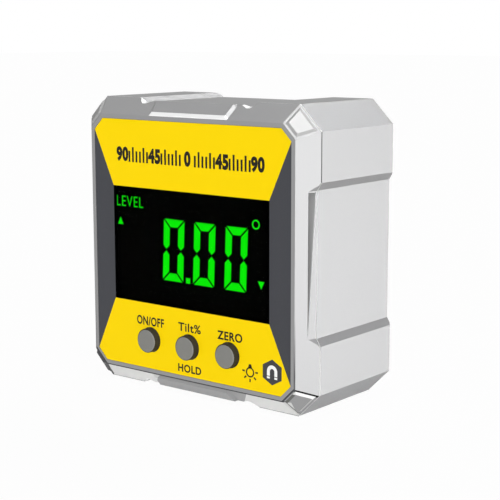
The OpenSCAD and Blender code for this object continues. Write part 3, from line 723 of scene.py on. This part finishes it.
lamp = arc_band(LAMP_X, LAMP_Z, GLASS_OUTER, GLASS_INNER, start=-270, end=90)
lamp.append([(LAMP_X - CAP_FOOT, LAMP_Z + CAP_LOW), (LAMP_X + CAP_FOOT, LAMP_Z + CAP_LOW),
             (LAMP_X + CAP_TOP, LAMP_Z + CAP_HIGH), (LAMP_X - CAP_TOP, LAMP_Z + CAP_HIGH)])
for angle in RAY_ANGLES:
    across, rise = math.cos(math.radians(angle)), math.sin(math.radians(angle))
    lamp.append(bar(LAMP_X + RAY_FROM * across, LAMP_Z + RAY_FROM * rise,
                    LAMP_X + RAY_TO * across, LAMP_Z + RAY_TO * rise, RAY_WIDTH))
sign("sign_lamp", lamp, FACE_Y, print_dark)

# %% [markdown]
# Magnet
# A horseshoe on a six-sided badge stands for the magnets in the base. Its two legs end in separate tips, and
# it is printed on top of the badge.

# %% Magnet badge
BADGE_X, BADGE_Z = 21.24, -21.24
BADGE_HALF, BADGE_TIP, BADGE_SHOULDER = 2.29, 2.55, 1.3
BOW_OUTER, BOW_INNER, BOW_RISE = 1.25, 0.55, 0.15
LEG_DROP = 0.75
TIP_FROM, TIP_TO = 0.9, 1.3

hexagon = [(BADGE_X, BADGE_Z + BADGE_TIP),
           (BADGE_X - BADGE_HALF, BADGE_Z + BADGE_SHOULDER), (BADGE_X - BADGE_HALF, BADGE_Z - BADGE_SHOULDER),
           (BADGE_X, BADGE_Z - BADGE_TIP),
           (BADGE_X + BADGE_HALF, BADGE_Z - BADGE_SHOULDER), (BADGE_X + BADGE_HALF, BADGE_Z + BADGE_SHOULDER)]
sign("sign_badge", [hexagon], FACE_Y, badge_grey)
horseshoe = arc_band(BADGE_X, BADGE_Z + BOW_RISE, BOW_OUTER, BOW_INNER, start=0, end=180)
for left, right in ((-BOW_OUTER, -BOW_INNER), (BOW_INNER, BOW_OUTER)):
    leg = BADGE_X + left, BADGE_X + right
    horseshoe.append(box_outline(*leg, BADGE_Z - LEG_DROP, BADGE_Z + BOW_RISE))
    horseshoe.append(box_outline(*leg, BADGE_Z - TIP_TO, BADGE_Z - TIP_FROM))
sign("sign_magnet", horseshoe, FACE_Y - INK, print_white)

# %% [markdown]
# Lit word on the display
# Beside the figures the display shows one lit word. It lies on the cell, behind the window, as the figures
# do, and takes its finish from the same material slot. Light spreads a little, so its strokes are thinned.

# %% Lit word
CELL_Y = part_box("lcd_glass")[0].y
LEVEL_BOX = (-20.4, -12.95, 7.6, 9.75)
THIN = -0.012
lit_word = sign("lit_level", word_outlines("LEVEL", *LEVEL_BOX, THIN), CELL_Y, lit_green)

# %% [markdown]
# Table
# The gauge stands on a white light table in a white room. A table lit to pure white from above would need so
# much light that the silver burns out, so the camera, and what is mirrored or seen through glass, gets most
# of its white directly. The rest comes from the lamps, which keeps a faint shadow under the gauge. The table
# is translucent, so it doesn't hold back the lamps that stand under its edge.

# %% Table
TABLE_HALF = 3.0
TABLE_PAINT = 0.55
WHITE_SHARE = 0.97
WHITE = (1.0, 1.0, 1.0, 1.0)

table_mesh = bpy.data.meshes.new("table")
table_mesh.from_pydata([(-TABLE_HALF, -TABLE_HALF, 0), (TABLE_HALF, -TABLE_HALF, 0),
                        (TABLE_HALF, TABLE_HALF, 0), (-TABLE_HALF, TABLE_HALF, 0)], [], [(0, 1, 2, 3)])
table = bpy.data.objects.new("table", table_mesh)
bpy.context.scene.collection.objects.link(table)
table.visible_shadow = False


def seen(tree):
    """1 for rays from the camera, and for those that are mirrored or pass through glass."""
    camera_ray = tree.add("ShaderNodeLightPath", {}, {}, "Is Camera Ray")
    glossy_ray = camera_ray.other("Is Glossy Ray")
    return (camera_ray + glossy_ray + camera_ray.other("Is Transmission Ray")).clamp()


table_white = bpy.data.materials.new("table_white")
tree = Tree(table_white)
tree.nodes.clear()
lit = tree.add("ShaderNodeBsdfDiffuse", {}, {"Color": (TABLE_PAINT, TABLE_PAINT, TABLE_PAINT, 1.0)})
plain = tree.add("ShaderNodeEmission", {}, {"Color": WHITE, "Strength": 1.0})
blend = tree.add("ShaderNodeMixShader", {}, {0: seen(tree) * WHITE_SHARE, 1: lit, 2: plain})
tree.add("ShaderNodeOutputMaterial", {}, {"Surface": blend})
table_mesh.materials.append(table_white)
print("table side, m:", 2 * TABLE_HALF)

# %% [markdown]
# Room
# The room is a dim world, so that the lamps do most of the lighting. The camera, mirrors and glass see plain
# white in its place, by the same split of rays as on the table.

# %% Room
ROOM_LIGHT = 0.08

world = bpy.data.worlds.new("room")
bpy.context.scene.world = world
tree = Tree(world)
tree.nodes.clear()
dim = tree.add("ShaderNodeBackground", {}, {"Color": WHITE, "Strength": ROOM_LIGHT})
white = tree.add("ShaderNodeBackground", {}, {"Color": WHITE, "Strength": 1.0})
blend = tree.add("ShaderNodeMixShader", {}, {0: seen(tree), 1: dim, 2: white})
tree.add("ShaderNodeOutputWorld", {}, {"Surface": blend})
print("room light:", ROOM_LIGHT)

# %% [markdown]
# Lamps
# The lamps are broad studio lights, each a sun with a wide disc, so that shadows are soft. Area lamps would
# also do, but a sun's light doesn't fall off with distance, so a flat facet keeps an even tone. Its strength
# is the light on a face turned to it, and together they give the face of the gauge about as much light as
# white paper needs. A facet of the silver shines where it mirrors a lamp, so most lamps stand where one
# facet, seen by the camera, points: the right bevel, the right side, the upper corner, and so on. The front
# lamp stands near the camera and lights the face, and the top one fills in. Lamps with a negative height
# shine upwards, through the table. Multiple importance sampling is off: a lamp is sampled as a light only,
# and a mirrored ray that happens to meet its disc adds nothing. Angles are in degrees, and azimuth 0 is the
# front.

# %% Lamps
# Name, azimuth, height, strength and width of the disc
LAMPS = [
    ("front", 32, 8, 0.5, 40),
    ("right_front", 62, -8, 0.24, 26),
    ("right", 96, -8, 0.2, 30),
    ("right_back", 132, -8, 0.38, 40),
    ("right_top", 57, 60, 0.46, 32),
    ("back_top", 186, 43, 0.34, 30),
    ("back_table", 200, -38, 0.13, 34),
    ("top", 0, 80, 0.15, 60),
    ("left_table", -105, -50, 0.2, 50),
]
for name, azimuth, height, strength, spread in LAMPS:
    lamp_data = bpy.data.lights.new(name, "SUN")
    lamp_data.energy = strength * math.pi
    lamp_data.angle = math.radians(spread)
    lamp_data.cycles.use_multiple_importance_sampling = False
    lamp_object = bpy.data.objects.new(name, lamp_data)
    bpy.context.scene.collection.objects.link(lamp_object)
    around, above = math.radians(azimuth), math.radians(height)
    level = math.cos(above)
    towards = Vector((math.sin(around) * level, -math.cos(around) * level, math.sin(above)))
    lamp_object.rotation_euler = towards.to_track_quat("Z", "Y").to_euler()
print("lamps:", len(LAMPS))

# %% [markdown]
# Picture settings
# The Standard view shows a colour about as it is written.

# %% Finish
bpy.context.scene.view_settings.view_transform = "Standard"
